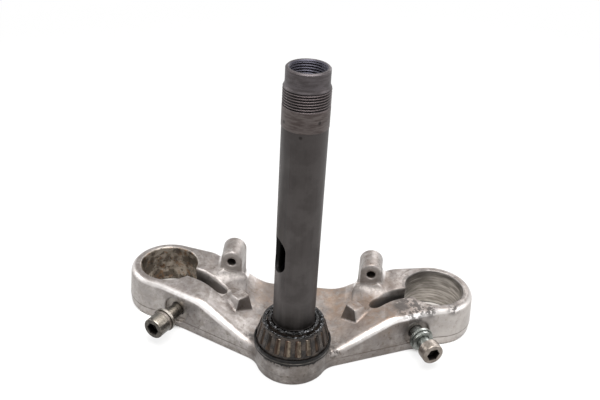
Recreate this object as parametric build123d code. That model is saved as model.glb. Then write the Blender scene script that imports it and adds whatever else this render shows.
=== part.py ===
from build123d import *
from math import asin, atan2, cos, radians, sin, tan
import os

# Lower triple clamp of a motorcycle: an aluminium bottom yoke with its pressed-in steering stem, the inner half
# of the lower steering bearing, a dust seal and two loosened pinch bolts with their washers. Millimetres.
# The origin is on the steering axis, in the plane of the yoke's underside. +Z points up the stem, +Y towards the
# forks, and -Y towards the rider. Left is -X.

# Fork clamps
fork_spacing = 206.6
fork_offset = 64.1
fork_bore = 44.0
clamp_wall = 8.9
bore_chamfer = 0.6
spot_face_width = 5.5
spot_face_depth = 0.3

# Arms and web
arm_height = 31.4
arm_angle = 25.6
arm_inset = 1.8
arm_blend = 30.0
web_height = 13.5
web_flat = 31.0
web_slope = 24.4
slope_blend = 25.0
web_back = 77.5
back_flat = 24.0
back_blend = 30.0
nose_blend = 12.0
parting_height = 7.0
upper_draft = 4.0
lower_draft = 4.5
ridge_radius = 6.0
underside_radius = 1.2

# Stem boss
boss_diameter = 52.4
boss_height = 18.0
boss_blend = 4.5
neck_blend = 16.0
neck_slope = 20.0

# Pockets in the underside
pocket_skin = 7.0
pocket_wall = 9.0
pocket_reach = 45.0
pocket_boss_wall = 8.0
pocket_rib = 9.0
pocket_corner = 3.0
pocket_draft = 5.0

# Clamp slots
slot_width = 12.0
slot_length = 54.0

# Lugs with tapped holes
lug_spacing = 107.6
lug_front = 60.0
lug_length = 20.0
lug_radius = 8.0
lug_arch_height = 41.0
lug_draft = 3.0
lug_edge = 1.2
lug_blend = 6.0
lug_toe_reach = 11.0
lug_toe_side = 6.0
lug_toe_height = 10.0
lug_toe_slope = 35.0
lug_spot = 17.6
lug_hole = 6.8
lug_hole_depth = 14.0
lug_hole_drop = 1.0

# Steering stops
stop_across = 39.6
stop_along = 28.8
stop_angle = 46.2
stop_width = 20.0
stop_depth = 18.0
stop_top_width = 9.5
stop_top_depth = 9.0
stop_top_shift = 3.0
stop_lean = 3.2
stop_top = 28.0
stop_foot = 13.0
stop_edge = 1.0
stop_blend = 2.0

# Pinch bolts, their holes and washers
bolt_diameter = 10.0
bolt_length = 55.0
bolt_head_diameter = 16.0
left_head_height = 10.0
right_head_height = 8.0
bolt_head_edge = 0.8
bolt_point = 1.2
socket_size = 8.0
socket_depth = 5.0
bolt_reach = 27.8
bolt_height = 15.0
bolt_hole = 10.4
tapped_clearance = 0.05
tapped_depth = 22.5
counterbore_diameter = 20.5
counterbore_depth = 5.0
spring_washer_diameter = 16.0
spring_washer_thickness = 2.5
spring_washer_gap = 1.6
spring_washer_slant = 25.0
spring_washer_turn = 190.0
flat_washer_diameter = 18.0
flat_washer_thickness = 2.0
washer_clearance = 0.2
seat_gap = 0.05
left_bolt_out = 14.9
right_bolt_out = 15.4
right_washer_out = 8.1

# Steering stem
stem_diameter = 30.0
stem_foot = 0.5
stem_relief = 0.25
stem_relief_start = 40.0
stem_bore = 21.0
upper_seat_start = 189.1
thread_start = 202.4
thread_diameter = 29.8
spigot_start = 215.0
spigot_diameter = 27.6
stem_top = 226.6
cap_thread_bore = 22.4
cap_thread_depth = 24.0
stem_edge = 0.8
press_gap = 0.02
lock_hole_height = 96.4
lock_hole_width = 16.0
lock_hole_length = 26.4
lock_hole_bearing = 208.5

# Dust seal
seal_diameter = 55.0
seal_seat = 4.2
seal_lip = 5.2
seal_lip_width = 1.0
seal_shelf = 3.2
seal_shelf_start = 43.6

# Lower bearing: inner race, rollers and cage
race_width = 17.0
roller_count = 20
roller_first = 14.0
roller_pitch_radius = 21.7
roller_height = 8.2
roller_tilt = 14.1
roller_length = 12.0
roller_diameter = 5.8
roller_edge = 0.3
roller_gap = 0.08
race_rib = 1.6
race_small_rib = 1.0
race_edge = 0.8
cage_inner = 1.0
cage_thickness = 1.2
cage_top = 7.6
cage_bottom = 8.2
cage_flange = 2.2
cage_flange_thickness = 1.1
cage_gap = 0.15

# How far cutting tools run past the metal
overcut = 1.0

# Values that follow from the sizes above
fork_x = fork_spacing / 2
fork_y = fork_offset
bore_radius = fork_bore / 2
clamp_radius = bore_radius + clamp_wall
boss_radius = boss_diameter / 2
stem_radius = stem_diameter / 2
arm_turn = radians(arm_angle)
into_arm = Vector(-cos(arm_turn), -sin(arm_turn))
out_front = Vector(sin(arm_turn), -cos(arm_turn))
bolt_seat = clamp_radius - counterbore_depth
roller_turn = radians(roller_tilt)
roller_apex = roller_pitch_radius / sin(roller_turn)
roller_taper = atan2(roller_diameter / 2, roller_apex)
race_foot = boss_height + seal_seat
roller_middle = race_foot + roller_height


def half_outline(inset=0.0):
    """Right half of the yoke's plan, or of one inset from it: arm, clamp and web, with edges tangent to the clamp."""
    round_end = clamp_radius - inset
    clamp = Vector(fork_x, fork_y)
    front = clamp + out_front * (round_end - arm_inset)
    nose = front + into_arm * (front.X / cos(arm_turn))
    corner = Vector(back_flat, web_back - inset)
    reach = clamp - corner
    turn = atan2(reach.Y, reach.X) + asin(round_end / reach.length)
    run = (reach.length**2 - round_end**2) ** 0.5
    back = corner + Vector(cos(turn), sin(turn)) * run
    points = [nose, front, clamp, back, corner, Vector(0, corner.Y)]
    flank = Polygon(*[(p.X, p.Y) for p in points], align=None)
    return flank + Pos(fork_x, fork_y) * Circle(round_end)


def outline():
    """Whole plan of the yoke at the parting line, with its corners rounded."""
    half = half_outline()
    plan = half + mirror(half, about=Plane.YZ)
    inner = [v for v in plan.vertices() if abs(v.Y - web_back) < 0.01]
    plan = fillet(inner, back_blend)
    nose = [v for v in plan.vertices() if abs(v.X) < 0.01 and v.Y < 0]
    plan = fillet(nose, nose_blend)
    outer = fork_x + clamp_radius * sin(arm_turn)
    necks = [v for v in plan.vertices() if back_flat < abs(v.X) < outer and 0 < v.Y < fork_y]
    return fillet(necks, arm_blend)


def two_way_draft(plan, top):
    """Casting wall round a plan at the parting line, drafted up to a height and down to the underside."""
    at_parting = Pos(0, 0, parting_height) * plan
    upper = extrude(at_parting, amount=top - parting_height, taper=upper_draft)
    lower = extrude(at_parting, amount=-parting_height, taper=lower_draft)
    return upper + lower


def above_profile(drop):
    """Space above the web and arms, lowered by a drop: flat over the web, then sloping up to the arms' height."""
    rise = (arm_height - web_height) / tan(radians(web_slope))
    outer = web_flat + rise
    far = fork_spacing
    sky = 2 * arm_height
    low = web_height - drop
    high = arm_height - drop
    left = [(-far, sky), (-far, high), (-outer, high), (-web_flat, low)]
    right = [(web_flat, low), (outer, high), (far, high), (far, sky)]
    profile = Polygon(*left, *right, align=None)
    profile = fillet([v for v in profile.vertices() if abs(v.X) < far and v.Y < sky], slope_blend)
    return extrude(Plane.XZ * profile, amount=2 * fork_spacing, both=True)


def rim_edges(body):
    """Edges that border the upward faces of a body on one side only."""
    found = {}
    for face in body.faces():
        if face.normal_at().Z > 0.7:
            for edge in face.edges():
                middle = edge.center()
                key = (round(middle.X, 3), round(middle.Y, 3), round(middle.Z, 3))
                found.setdefault(key, []).append(edge)
    return [same[0] for same in found.values() if len(same) == 1]


def seam_edges(joined, first, second):
    """Edges of a joined body where its two parts meet."""
    near = second.bounding_box()
    seam = []
    for edge in joined.edges():
        points = [edge.position_at(t) for t in (0.25, 0.5, 0.75)]
        if not all(near.min.Z - 0.1 < p.Z < near.max.Z + 0.1 for p in points):
            continue
        if not all(near.min.X - 0.1 < p.X < near.max.X + 0.1 for p in points):
            continue
        if all(second.distance_to(p) < 0.001 and first.distance_to(p) < 0.001 for p in points):
            seam.append(edge)
    return seam


def blended(body, added, blend):
    """A body with a block added to it and a fillet where they meet."""
    joined = body + added
    return fillet(seam_edges(joined, body, added), blend)


def boss():
    """Stem boss with draft above and below the parting line."""
    return Rot(0, 0, -90) * two_way_draft(Circle(boss_radius), boss_height)


def right_neck():
    """Block that rounds the inner corner in plan between the boss and the right arm's front edge."""
    plan = outline() + Circle(boss_radius)
    corner = [v for v in plan.vertices() if 0 < v.X < boss_radius and v.Y < 0 and v.Y > -boss_radius][0]
    near = Pos(corner.X, corner.Y) * Circle(neck_blend)
    level = Pos(0, 0, parting_height) * (fillet([corner], neck_blend) & near)
    lower = extrude(level, amount=-parting_height, taper=lower_draft)
    rise = (web_height - parting_height) * 0.7
    return lower + extrude(level, amount=rise, taper=neck_slope)


def right_lug():
    """Arched lug on the right: a tunnel-shaped block, wider towards the back."""
    arch = Pos(0, lug_arch_height) * Circle(lug_radius)
    foot = Pos(0, (web_height + lug_arch_height) / 2) * Rectangle(2 * lug_radius, lug_arch_height - web_height)
    face = Plane((lug_spacing / 2, lug_front, 0), x_dir=(1, 0, 0), z_dir=(0, -1, 0)) * (arch + foot)
    lug = extrude(face, amount=-lug_length, taper=-lug_draft)
    return fillet([e for e in lug.edges() if e.center().Z > lug_arch_height and e.length > lug_radius], lug_edge)


def right_lug_toe():
    """Toe before the right lug's front face: a hollow curve up from the web's slope, with sloping sides and back."""
    ground = web_height + (lug_spacing / 2 - web_flat) * tan(radians(web_slope))
    lean = lug_toe_height * tan(radians(lug_toe_slope))
    front = -lug_toe_reach - lean
    back = lug_edge + lean
    width = 2 * (lug_radius + lug_toe_side)
    plan = Pos(0, (front + back) / 2) * Rectangle(width, back - front)
    block = extrude(plan, amount=lug_toe_height, taper=lug_toe_slope) + extrude(plan, amount=-lug_toe_height)
    curve = (lug_toe_reach**2 + lug_toe_height**2) / (2 * lug_toe_height)
    side = Pos((back - lug_toe_reach) / 2, 0) * Rectangle(back + lug_toe_reach, 2 * lug_toe_height)
    side = side - Pos(-lug_toe_reach, curve) * Circle(curve)
    toe = block & extrude(Plane.YZ * side, amount=width, both=True)
    return Pos(lug_spacing / 2, lug_front, ground) * Rot(0, -web_slope, 0) * toe


def right_lug_hole():
    """Tapped hole in the right lug's front face, at its thread's inner diameter."""
    start = Plane((lug_spacing / 2, lug_front, lug_arch_height - lug_hole_drop), z_dir=(0, 1, 0))
    drill = Pos(0, 0, lug_hole_depth / 2) * Cylinder(lug_hole / 2, lug_hole_depth)
    spot = Pos(0, 0, -lug_length / 2) * Cylinder(lug_spot / 2, lug_length)
    return start * (drill + spot)


def right_stop():
    """Steering stop on the right: a block with steep drafted sides, turned to face the frame's stop."""
    place = Pos(stop_across, stop_along) * Rot(0, 0, -stop_angle)
    foot = place * Pos(0, stop_depth / 2, stop_foot) * Rectangle(stop_width, stop_depth)
    middle = stop_lean + stop_top_depth / 2
    top = place * Pos(-stop_top_shift, middle, stop_top) * Rectangle(stop_top_width, stop_top_depth)
    block = loft([foot, top])
    return fillet([e for e in block.edges() if e.center().Z > stop_foot + stop_edge], stop_edge)


def right_bolt_frame():
    """Frame on the right pinch bolt's axis, level with the fork's axis, with Z pointing out of the front face."""
    x = fork_x + bolt_reach * into_arm.X
    y = fork_y + bolt_reach * into_arm.Y
    return Plane((x, y, bolt_height), x_dir=(0, 0, 1), z_dir=(out_front.X, out_front.Y, 0))


def left_bolt_frame():
    """Frame on the left pinch bolt's axis, the right one's mirror image."""
    right = right_bolt_frame()
    origin = (-right.origin.X, right.origin.Y, right.origin.Z)
    return Plane(origin, x_dir=(0, 0, 1), z_dir=(-right.z_dir.X, right.z_dir.Y, 0))


def rod(radius, low, high):
    """Cylinder on the Z axis between two heights."""
    return Pos(0, 0, (low + high) / 2) * Cylinder(radius, high - low)


def right_clamp_cuts():
    """Fork bore with its chamfers and spot face, clamp slot and pinch-bolt holes on the right."""
    low = -overcut
    high = arm_height + overcut
    bore = rod(bore_radius, low, high)
    mouth = bore_radius + bore_chamfer
    face = arm_height - spot_face_depth
    rim = Pos(0, 0, face - bore_chamfer / 2) * Cone(bore_radius, mouth, bore_chamfer)
    foot = Pos(0, 0, bore_chamfer / 2) * Cone(mouth, bore_radius, bore_chamfer)
    spot = rod(bore_radius + spot_face_width, face, high)
    bored = Pos(fork_x, fork_y) * (bore + rim + foot + spot)
    end = slot_length - slot_width / 2
    track = Pos(end / 2, 0) * Rectangle(end, slot_width) + Pos(end, 0) * Circle(slot_width / 2)
    slot = extrude(Pos(fork_x, fork_y, low) * Rot(0, 0, 180 + arm_angle) * track, amount=high - low)
    out = 2 * clamp_radius
    through = rod(bolt_hole / 2, 0, out)
    sunk = rod(counterbore_diameter / 2, bolt_seat, out)
    tapped = rod(bolt_diameter / 2 + tapped_clearance, -slot_width / 2 - tapped_depth, 0)
    return bored + slot + right_bolt_frame().location * (through + sunk + tapped)


def right_pocket():
    """Right pocket in the underside, which leaves walls round the edge, a ring round the boss and a middle rib."""
    middle = (pocket_rib / 2 + pocket_reach) / 2
    reach = Pos(middle, 0) * Rectangle(pocket_reach - pocket_rib / 2, 4 * fork_spacing)
    plan = (half_outline(pocket_wall) & reach) - Circle(boss_radius + pocket_boss_wall)
    plan = plan.faces().sort_by(SortBy.AREA)[-1]
    plan = fillet(plan.vertices(), pocket_corner)
    room = extrude(plan, amount=arm_height, taper=pocket_draft)
    return room - above_profile(pocket_skin)


def bottom_yoke():
    """Cast yoke: drafted web and arms with rounded ridges, boss, lugs and stops, then the machined cuts."""
    body = two_way_draft(outline(), arm_height + ridge_radius) - above_profile(0)
    body = fillet(rim_edges(body), ridge_radius)
    body = blended(body, boss(), min(boss_blend, 0.8 * (boss_height - web_height)))
    neck = right_neck()
    body = body + neck + mirror(neck, about=Plane.YZ)
    body = fillet([e for e in body.edges() if e.bounding_box().max.Z < 0.01], underside_radius)
    for piece, blend in ((right_lug(), lug_blend), (right_stop(), stop_blend)):
        body = blended(body, piece, blend)
        body = blended(body, mirror(piece, about=Plane.YZ), blend)
    toe = right_lug_toe()
    body = body + toe + mirror(toe, about=Plane.YZ)
    cuts = right_clamp_cuts() + right_pocket() + right_lug_hole()
    body = body - cuts - mirror(cuts, about=Plane.YZ)
    return body - rod(stem_radius + press_gap, -overcut, boss_height + overcut)


def steering_stem():
    """Steel stem: press fit, relieved shaft, upper bearing seat, thread, spigot, inner cap thread and lock hole."""
    relieved = stem_radius - stem_relief
    thread = thread_diameter / 2
    spigot = spigot_diameter / 2
    bore = stem_bore / 2
    cap = cap_thread_bore / 2
    points = [
        (bore, stem_foot),
        (stem_radius - stem_edge, stem_foot),
        (stem_radius, stem_foot + stem_edge),
        (stem_radius, stem_relief_start),
        (relieved, stem_relief_start + stem_relief),
        (relieved, upper_seat_start - stem_relief),
        (stem_radius, upper_seat_start),
        (stem_radius, thread_start),
        (thread, thread_start + stem_edge),
        (thread, spigot_start - stem_edge),
        (thread - stem_edge, spigot_start),
        (spigot, spigot_start),
        (spigot, stem_top - stem_edge),
        (spigot - stem_edge, stem_top),
        (cap + stem_edge, stem_top),
        (cap, stem_top - stem_edge),
        (cap, stem_top - cap_thread_depth),
        (bore, stem_top - cap_thread_depth - (cap - bore)),
    ]
    tube = revolve(Plane.XZ * Polygon(*points, align=None), axis=Axis.Z)
    bearing = radians(lock_hole_bearing)
    wall = Plane((0, 0, lock_hole_height), x_dir=(0, 0, 1), z_dir=(cos(bearing), sin(bearing), 0))
    hole = extrude(wall * SlotOverall(lock_hole_length, lock_hole_width), amount=stem_diameter)
    return tube - hole


def dust_seal():
    """Seal ring on the boss: a seat for the race, a lower shelf under the cage and an outer lip."""
    inner = stem_radius + press_gap
    outer = seal_diameter / 2
    shelf = seal_shelf_start / 2
    points = [
        (inner, boss_height),
        (outer - seal_lip_width, boss_height),
        (outer, boss_height + seal_lip_width),
        (outer, boss_height + seal_lip - seal_lip_width / 2),
        (outer - seal_lip_width / 2, boss_height + seal_lip),
        (outer - seal_lip_width, boss_height + seal_lip),
        (outer - 1.5 * seal_lip_width, boss_height + seal_shelf),
        (shelf + seal_seat - seal_shelf, boss_height + seal_shelf),
        (shelf, boss_height + seal_seat),
        (inner, boss_height + seal_seat),
    ]
    return revolve(Plane.XZ * Polygon(*points, align=None), axis=Axis.Z)


def beside_roller(along, out):
    """Point in the bearing's half section: along the roller's axis from its middle, and out from that axis."""
    radius = roller_pitch_radius - along * sin(roller_turn) + out * cos(roller_turn)
    height = roller_middle + along * cos(roller_turn) + out * sin(roller_turn)
    return (radius, height)


def roller_radius(along):
    """Roller's radius at a place along its axis: the cone whose apex is on the bearing's axis."""
    return (roller_apex - along) * tan(roller_taper)


def bearing_inner_race():
    """Inner race: a cone with its apex on the axis, a rib under the rollers and a small rib over them."""
    inner = stem_radius + press_gap
    half = roller_length / 2 + roller_gap
    top = race_foot + race_width
    track_low = -(roller_radius(-half) + roller_gap)
    track_high = -(roller_radius(half) + roller_gap)
    rib = beside_roller(-half, track_low + race_rib)
    small = beside_roller(half, track_high + race_small_rib)
    points = [
        (inner + race_edge, race_foot),
        (rib[0] - race_edge / 2, race_foot),
        (rib[0], race_foot + race_edge / 2),
        rib,
        beside_roller(-half, track_low),
        beside_roller(half, track_high),
        small,
        (small[0] - (top - small[1]) * tan(roller_turn), top),
        (inner + race_edge, top),
        (inner, top - race_edge),
        (inner, race_foot + race_edge),
    ]
    return revolve(Plane.XZ * Polygon(*points, align=None), axis=Axis.Z)


def tapered_roller(number, gap=0.0):
    """One roller in its place round the bearing, larger by a gap all over when it cuts the cage's window."""
    half = roller_length / 2 + gap
    cone = Cone(roller_radius(-half) + gap, roller_radius(half) + gap, 2 * half)
    if gap == 0:
        cone = chamfer(cone.edges().filter_by(GeomType.CIRCLE), roller_edge)
    middle = beside_roller(0, 0)
    tilted = Pos(middle[0], 0, middle[1]) * Rot(0, -roller_tilt, 0) * cone
    return Rot(0, 0, roller_first + (number - 1) * 360 / roller_count) * tilted


def roller_cage():
    """Pressed cage: a conical sheet outside the rollers' axes, turned in over their small ends, with windows."""
    outer = cage_inner + cage_thickness
    points = [
        beside_roller(-cage_bottom, cage_inner),
        beside_roller(-cage_bottom, outer),
        beside_roller(cage_top, outer),
        beside_roller(cage_top, cage_inner - cage_flange),
        beside_roller(cage_top - cage_flange_thickness, cage_inner - cage_flange),
        beside_roller(cage_top - cage_flange_thickness, cage_inner),
    ]
    sheet = revolve(Plane.XZ * Polygon(*points, align=None), axis=Axis.Z)
    return sheet - [tapered_roller(number, cage_gap) for number in range(1, roller_count + 1)]


def pinch_bolt(frame, out, head_height):
    """Socket head cap screw on a bolt's frame, drawn out by a distance from where it is tight."""
    under = bolt_seat + flat_washer_thickness + spring_washer_thickness + 2 * seat_gap + out
    head = rod(bolt_head_diameter / 2, under, under + head_height)
    head = fillet(head.edges().sort_by(Axis.Z)[-1], bolt_head_edge)
    shank = rod(bolt_diameter / 2, under - bolt_length, under)
    shank = chamfer(shank.edges().sort_by(Axis.Z)[0], bolt_point)
    key = RegularPolygon(socket_size / 2, 6, major_radius=False)
    socket = extrude(Pos(0, 0, under + head_height) * key, amount=-socket_depth)
    return frame.location * (head + shank - socket)


def spring_washer(frame, out):
    """Split spring washer on a flat one that is a distance out from its seat."""
    low = bolt_seat + flat_washer_thickness + seat_gap + out
    high = low + spring_washer_thickness
    ring = rod(spring_washer_diameter / 2, low, high) - rod(bolt_diameter / 2 + washer_clearance, low, high)
    middle = (low + high) / 2
    cut = Rot(spring_washer_slant, 0, 0) * Box(spring_washer_diameter, spring_washer_gap, 3 * (high - low))
    split = Rot(0, 0, spring_washer_turn) * Pos(spring_washer_diameter / 2, 0, middle) * cut
    return frame.location * (ring - split)


def flat_washer(frame, out):
    """Narrow flat washer, a distance out from its seat in the counterbore."""
    low = bolt_seat + out
    high = low + flat_washer_thickness
    ring = rod(flat_washer_diameter / 2, low, high) - rod(bolt_diameter / 2 + washer_clearance, low, high)
    return frame.location * ring


def main():
    """Build every piece and write one file for each."""
    left = left_bolt_frame()
    right = right_bolt_frame()
    pieces = {
        "bottom_yoke": bottom_yoke(),
        "steering_stem": steering_stem(),
        "dust_seal": dust_seal(),
        "bearing_inner_race": bearing_inner_race(),
        "roller_cage": roller_cage(),
        "left_pinch_bolt": pinch_bolt(left, left_bolt_out, left_head_height),
        "left_spring_washer": spring_washer(left, left_bolt_out),
        "left_flat_washer": flat_washer(left, left_bolt_out),
        "right_pinch_bolt": pinch_bolt(right, right_bolt_out, right_head_height),
        "right_spring_washer": spring_washer(right, right_washer_out),
        "right_flat_washer": flat_washer(right, right_washer_out),
    }
    for number in range(1, roller_count + 1):
        pieces[f"tapered_roller_{number:02d}"] = tapered_roller(number)
    os.makedirs("parts", exist_ok=True)
    for name, piece in pieces.items():
        export_step(piece, f"parts/{name}.step")


main()
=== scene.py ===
# %% [markdown]
# # A motorcycle's lower triple clamp
# This part joins a motorcycle's two fork tubes to its frame. It is an aluminium casting with a steel stem pressed
# into it, the inner half of a tapered roller bearing at the stem's foot, and a pinch bolt in each fork clamp. The
# solids come ready made and stay where they are. These cells give them their threads, grease, wear and light.

import bpy
import numpy as np
from mathutils import Matrix


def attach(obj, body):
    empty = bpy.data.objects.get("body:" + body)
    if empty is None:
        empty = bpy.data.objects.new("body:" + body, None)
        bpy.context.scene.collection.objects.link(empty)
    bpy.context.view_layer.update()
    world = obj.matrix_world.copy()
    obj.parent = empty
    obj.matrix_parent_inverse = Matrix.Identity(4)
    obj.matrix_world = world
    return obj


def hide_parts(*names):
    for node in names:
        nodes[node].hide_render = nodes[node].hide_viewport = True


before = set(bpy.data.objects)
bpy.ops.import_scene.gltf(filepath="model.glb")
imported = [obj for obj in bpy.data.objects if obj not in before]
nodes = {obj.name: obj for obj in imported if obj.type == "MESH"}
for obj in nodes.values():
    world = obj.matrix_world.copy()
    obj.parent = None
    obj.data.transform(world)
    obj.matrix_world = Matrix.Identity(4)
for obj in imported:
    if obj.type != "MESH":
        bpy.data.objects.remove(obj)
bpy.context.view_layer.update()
MM = 0.001

# The right fork tube's axis, and the turn of its clamp's slot and bolt. The left half is the mirror image.
fork_axis = np.array([103.3, 64.1, 0]) * MM
arm_angle = np.radians(25.6)

# %% [markdown]
# ## The camera
# The picture is taken from the rider's side, about 30 degrees above the table and a little tilted. A camera's own
# axes are its right, its up and the direction back from what it looks at, so those three directions are worked out
# first and become the columns of its matrix. The lens follows from the width of the picture in pixels.

# %% Camera at the photograph's angle
turn, rise, roll = np.radians([3.242, 30.242, 3.39])
camera_place_mm = np.array([24.917, -447.52, 396.838])
focal_px, picture_px = 806.152, 600

back = np.array([np.sin(turn) * np.cos(rise), -np.cos(turn) * np.cos(rise), np.sin(rise)])
level = np.cross(-back, [0, 0, 1])
level = level / np.linalg.norm(level)
upward = np.cross(level, -back)
right = np.cos(roll) * level + np.sin(roll) * upward
up = np.cos(roll) * upward - np.sin(roll) * level

camera = bpy.data.objects.new("camera", bpy.data.cameras.new("camera"))
bpy.context.scene.collection.objects.link(camera)
columns = np.column_stack([right, up, back, camera_place_mm * MM])
camera.matrix_world = Matrix(np.vstack([columns, [0, 0, 0, 1]]).tolist())
camera.data.sensor_width = 36
camera.data.lens = focal_px / picture_px * camera.data.sensor_width
camera.data.clip_start = 0.01
bpy.context.scene.camera = camera
print("lens", round(camera.data.lens, 2), "mm")

# %% [markdown]
# ## Colour and nodes
# A material is a small tree of nodes. One helper turns the hex colours that a paint chart uses into the linear numbers
# that light adds up in. One feeds a node's inputs with values or with links from other nodes, and one adds a node.

# %% Colour and node helpers


def colour(hex_value):
    """Linear RGBA of an sRGB hex value: c / 12.92 up to 0.04045, and ((c + 0.055) / 1.055) ** 2.4 above it."""
    c = np.array([int(hex_value[i : i + 2], 16) for i in (1, 3, 5)]) / 255
    linear = np.where(c <= 0.04045, c / 12.92, ((c + 0.055) / 1.055) ** 2.4)
    return (*linear, 1.0)


def feed(tree, made, inputs):
    """Give each input of a node a value, or a link from a socket."""
    for name, value in inputs.items():
        if isinstance(value, bpy.types.NodeSocket):
            tree.links.new(value, made.inputs[name])
        else:
            made.inputs[name].default_value = value


def node(tree, kind, inputs=None, out=0, **settings):
    """Add a node of a kind with its properties and inputs, and give one of its outputs."""
    made = tree.nodes.new("ShaderNode" + kind)
    for name, value in settings.items():
        setattr(made, name, value)
    feed(tree, made, inputs or {})
    return made.outputs[out]


def start_material(name):
    """A material with its shader, and the place of each point in the part's own frame."""
    material = bpy.data.materials.new(name)
    material.use_nodes = True
    tree = material.node_tree
    return material, tree, tree.nodes["Principled BSDF"], node(tree, "TexCoord", out="Object")


def dress(piece, *materials):
    """Give a piece these materials and no others."""
    piece.data.materials.clear()
    for material in materials:
        piece.data.materials.append(material)


print("white is", colour("#ffffff"))

# %% [markdown]
# ## Light and ground
# A used part is photographed on white paper between soft lamps. Large area lamps give glints on the casting's rounded
# ridges, which also carry a painted highlight. The paper is a plain disc. It shows as white to the camera and in the
# metal, and still takes the part's shadow, because only part of its brightness is its own. Under the fork clamps it has
# none, so the bores and slots look as deep and dark as they are, and under the bores it is grey: a painted shadow.

# %% White paper
scene = bpy.context.scene
scene.view_settings.view_transform = "Standard"


def seen_rays(tree):
    """1 for rays from the camera, and for rays that a shiny or clear surface sends on."""
    rays = node(tree, "LightPath").node.outputs
    first = node(tree, "Math", {0: rays["Is Camera Ray"], 1: rays["Is Glossy Ray"]}, operation="MAXIMUM")
    return node(tree, "Math", {0: first, 1: rays["Is Transmission Ray"]}, operation="MAXIMUM")


clamp_middle = np.array([94, 60, 0]) * MM
paper_radius, paper_sides, paper_drop = 3.0, 96, 0.0002

paper, tree, shader, place = start_material("white paper")
tree.nodes.remove(shader)
ground_x, ground_y, _ = node(tree, "SeparateXYZ", {0: place}).node.outputs
either_side = node(tree, "Math", {0: ground_x}, operation="ABSOLUTE")
mirrored = node(tree, "CombineXYZ", {0: either_side, 1: ground_y})
from_clamp = node(tree, "VectorMath", {0: mirrored, 1: clamp_middle}, "Value", operation="DISTANCE")
outside_clamp = node(tree, "MapRange", {"Value": from_clamp, "From Min": 34 * MM, "From Max": 38 * MM})
from_part = node(tree, "VectorMath", {0: place}, "Value", operation="LENGTH")
own_light = node(tree, "MapRange", {"Value": from_part, "From Min": 0.35, "From Max": 0.9, "To Min": 0.8})
own_light = node(tree, "Math", {0: own_light, 1: outside_clamp}, operation="MULTIPLY")
share = node(tree, "Math", {0: seen_rays(tree), 1: own_light}, operation="MULTIPLY")
# Painted shadow: within about a bore's radius of each fork axis the paper's colour turns grey.
from_bore = node(tree, "VectorMath", {0: mirrored, 1: fork_axis}, "Value", operation="DISTANCE")
in_bore = node(tree, "MapRange", {"Value": from_bore, "From Min": 26 * MM, "From Max": 22 * MM})
shade = node(tree, "Mix", {0: in_bore, 6: colour("#f4f3f1"), 7: colour("#b9b5b0")}, 2, data_type="RGBA")
matt = node(tree, "BsdfDiffuse", {"Color": shade})
glow = node(tree, "Emission", {"Color": colour("#ffffff"), "Strength": 1.0})
both = node(tree, "MixShader", {0: share, 1: matt, 2: glow})
feed(tree, tree.nodes["Material Output"], {"Surface": both})

rim = np.linspace(0, 2 * np.pi, paper_sides, endpoint=False)
disc = np.column_stack([paper_radius * np.cos(rim), paper_radius * np.sin(rim), np.full(paper_sides, -paper_drop)])
ground_mesh = bpy.data.meshes.new("paper_ground")
ground_mesh.from_pydata(disc.tolist(), [], [list(range(paper_sides))])
ground = bpy.data.objects.new("paper_ground", ground_mesh)
scene.collection.objects.link(ground)
dress(ground, paper)
print(ground.name, "is", 2 * paper_radius, "m wide")

# %% Lamps and surrounding light
world = bpy.data.worlds.new("studio")
world.use_nodes = True
scene.world = world
tree = world.node_tree
strength = node(tree, "MapRange", {"Value": seen_rays(tree), "To Min": 0.2, "To Max": 1.0})
feed(tree, tree.nodes["Background"], {"Color": colour("#ffffff"), "Strength": strength})

# For each lamp: its place in metres, the side of its square in metres, and its power in watts.
lamps = {
    "overhead_lamp": ((0.05, -0.15, 0.95), 0.7, 16.0),
    "left_lamp": ((-0.95, 0.15, 0.5), 0.4, 4.0),
    "right_lamp": ((0.95, 0.0, 0.4), 0.4, 3.0),
    "back_lamp": ((0.4, 0.95, 0.55), 0.6, 3.6),
}
aim = np.array([0.0, 0.04, 0.05])
for name, (spot, side, watts) in lamps.items():
    lamp = bpy.data.objects.new(name, bpy.data.lights.new(name, "AREA"))
    lamp.data.size = side
    lamp.data.energy = watts
    away = np.array(spot) - aim
    away = away / np.linalg.norm(away)
    across = np.cross([0.0, 1.0, 0.0], away)
    across = across / np.linalg.norm(across)
    turned_to = np.column_stack([across, np.cross(away, across), away, spot])
    lamp.matrix_world = Matrix(np.vstack([turned_to, [0, 0, 0, 1]]).tolist())
    scene.collection.objects.link(lamp)
print(len(lamps), "lamps over", ground.name)

# %% [markdown]
# ## Patterns on metal
# Dirt and wear follow two rules here: blotches of some real size, and places where they gather. Each rule is one
# helper that gives a mask, a number from 0 to 1 at each point. A layer of colour then covers the one below it as far
# as the product of its masks lets it, so a stain is written as a colour and a list of what limits it.

# %% Masks and layers


def blotches(tree, place, size_mm, low, high, seed=0.0, detail=4.0, give=(0.0, 1.0)):
    """Mask of soft spots about size_mm wide: noise, stretched so that low and high become the two numbers to give."""
    pattern = {"Vector": place, "W": seed, "Scale": 1 / (size_mm * MM), "Detail": detail, "Roughness": 0.6}
    noise = node(tree, "TexNoise", pattern, noise_dimensions="4D")
    levels = {"Value": noise, "From Min": low, "From Max": high, "To Min": give[0], "To Max": give[1]}
    return node(tree, "MapRange", levels, interpolation_type="SMOOTHSTEP")


def near(tree, place, *spots):
    """Mask of round patches, each x, y, z, inner and outer in mm: 1 up to inner from x, y, z and 0 from outer on."""
    found = 0.0
    for *middle_mm, inner_mm, outer_mm in spots:
        apart = node(tree, "VectorMath", {0: place, 1: np.array(middle_mm) * MM}, "Value", operation="DISTANCE")
        levels = {"Value": apart, "From Min": outer_mm * MM, "From Max": inner_mm * MM}
        patch = node(tree, "MapRange", levels, interpolation_type="SMOOTHSTEP")
        found = node(tree, "Math", {0: found, 1: patch}, operation="MAXIMUM")
    return found


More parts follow.
